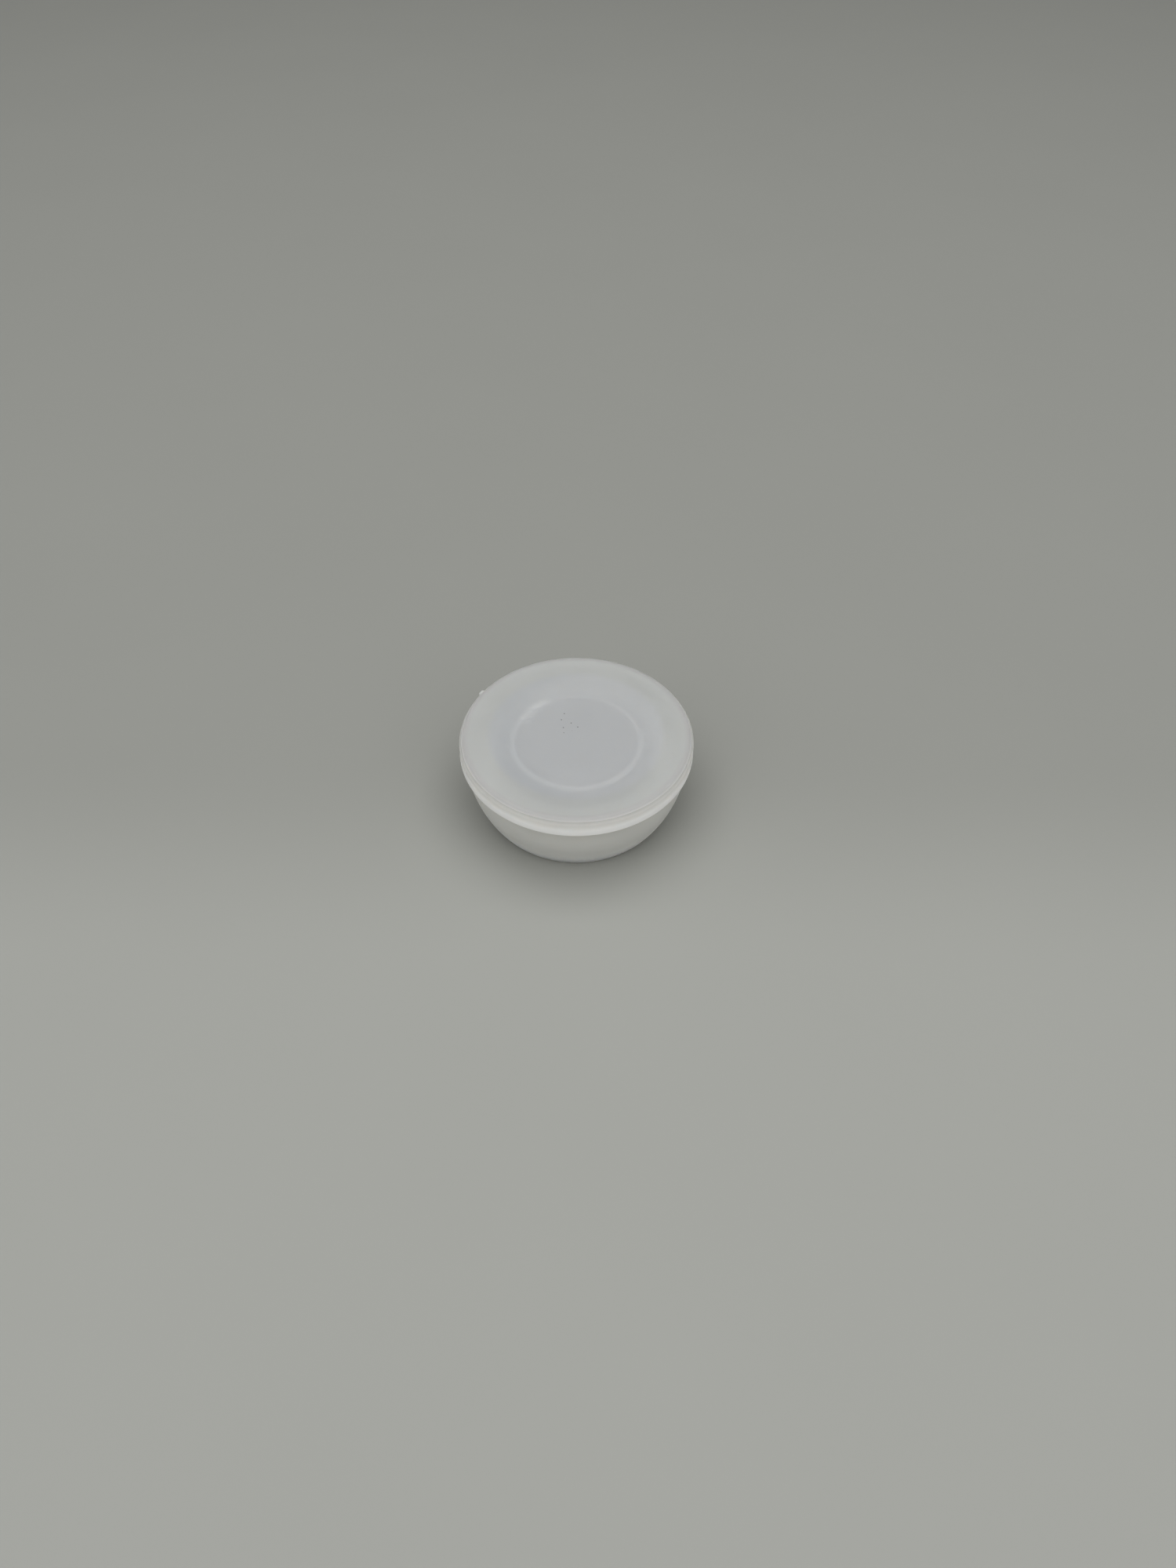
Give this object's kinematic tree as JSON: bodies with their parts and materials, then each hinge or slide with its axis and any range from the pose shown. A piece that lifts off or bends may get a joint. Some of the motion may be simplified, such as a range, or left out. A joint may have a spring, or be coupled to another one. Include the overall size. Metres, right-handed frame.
{
  "type": "drain cleanout cap",
  "caption": "Push-in round cap of milky silicone rubber: a flange over a bowed, hollow plug that closes a drain cleanout or pipe end.",
  "frame": {"origin": "middle of the foot of the plug, on the plane the cap stands on", "axes": "+Z along the cap's axis, from the foot to the flange's top face, out of the drain; the torn gate stub on the rim lies between -X and +Y"},
  "size_m": [0.048, 0.048, 0.018],
  "materials": {
    "silicone": "milky, translucent, satin as moulded"
  },
  "bodies": {
    "root": {"cap": "silicone"}
  },
  "joints": []
}
